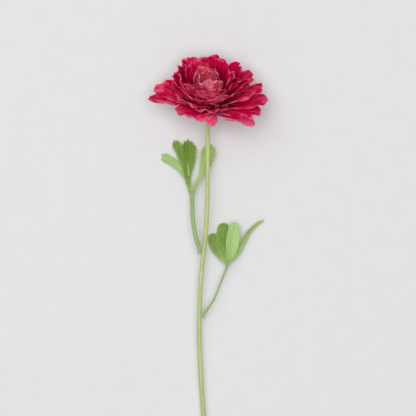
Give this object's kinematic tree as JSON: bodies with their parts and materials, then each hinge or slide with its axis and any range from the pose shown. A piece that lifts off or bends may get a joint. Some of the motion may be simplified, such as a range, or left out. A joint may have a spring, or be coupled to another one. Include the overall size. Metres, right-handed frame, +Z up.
{
  "type": "persian buttercup flower",
  "caption": "Cut double ranunculus lying down: dense crimson rosette of ruffled petals on a long slim stem with lobed leaves.",
  "frame": {"origin": "middle of the footprint, on the surface that the flower lies on", "axes": "+Z up from the surface, the stem lies along Y with the flower head at the +Y end and the cut end at the -Y end, +X to the right when seen from above with the head pointing away"},
  "size_m": [0.1098, 0.4274, 0.0827],
  "materials": {
    "petal_outer": "matt velvety crimson, dusty pink on the underside",
    "petal_inner": "matt dusty crimson pink, paler at the rims",
    "sepal": "matt green with a paler rim",
    "receptacle": "smooth green, low sheen",
    "carpels": "bumpy dark green, low sheen",
    "stamens": "matt purple black",
    "stem": "smooth pale yellow green with faint lengthwise ribs",
    "leaf": "matt mid green with paler veins and underside"
  },
  "bodies": {
    "root": {"petal_guard_1": "petal_outer", "petal_guard_2": "petal_outer", "petal_guard_3": "petal_outer", "petal_guard_4": "petal_outer", "petal_guard_5": "petal_outer", "petal_guard_6": "petal_outer", "petal_guard_7": "petal_outer", "petal_guard_8": "petal_outer", "petal_guard_9": "petal_outer", "petal_guard_10": "petal_outer", "petal_outer_1": "petal_outer", "petal_outer_2": "petal_outer", "petal_outer_3": "petal_outer", "petal_outer_4": "petal_outer", "petal_outer_5": "petal_outer", "petal_outer_6": "petal_outer", "petal_outer_7": "petal_outer", "petal_spread_1": "petal_outer", "petal_spread_2": "petal_outer", "petal_spread_3": "petal_outer", "petal_spread_4": "petal_outer", "petal_spread_5": "petal_outer", "petal_spread_6": "petal_outer", "petal_spread_7": "petal_outer", "petal_cup_1": "petal_outer", "petal_cup_2": "petal_outer", "petal_cup_3": "petal_outer", "petal_cup_4": "petal_outer", "petal_cup_5": "petal_outer", "petal_cup_6": "petal_outer", "petal_cup_7": "petal_outer", "petal_inner_1": "petal_outer", "petal_inner_2": "petal_outer", "petal_inner_3": "petal_outer", "petal_inner_4": "petal_outer", "petal_inner_5": "petal_outer", "petal_inner_6": "petal_outer", "petal_fold_1": "petal_inner", "petal_fold_2": "petal_inner", "petal_fold_3": "petal_inner", "petal_fold_4": "petal_inner", "petal_fold_5": "petal_inner", "petal_curl_1": "petal_inner", "petal_curl_2": "petal_inner", "petal_curl_3": "petal_inner", "petal_curl_4": "petal_inner", "petal_heart_1": "petal_inner", "petal_heart_2": "petal_inner", "petal_heart_3": "petal_inner", "sepal_1": "sepal", "sepal_2": "sepal", "sepal_3": "sepal", "sepal_4": "sepal", "sepal_5": "sepal", "receptacle": "receptacle", "carpel_cone": "carpels", "stamens": "stamens", "stem": "stem", "leaf_upper": "leaf", "leaf_lower": "leaf"}
  },
  "joints": []
}
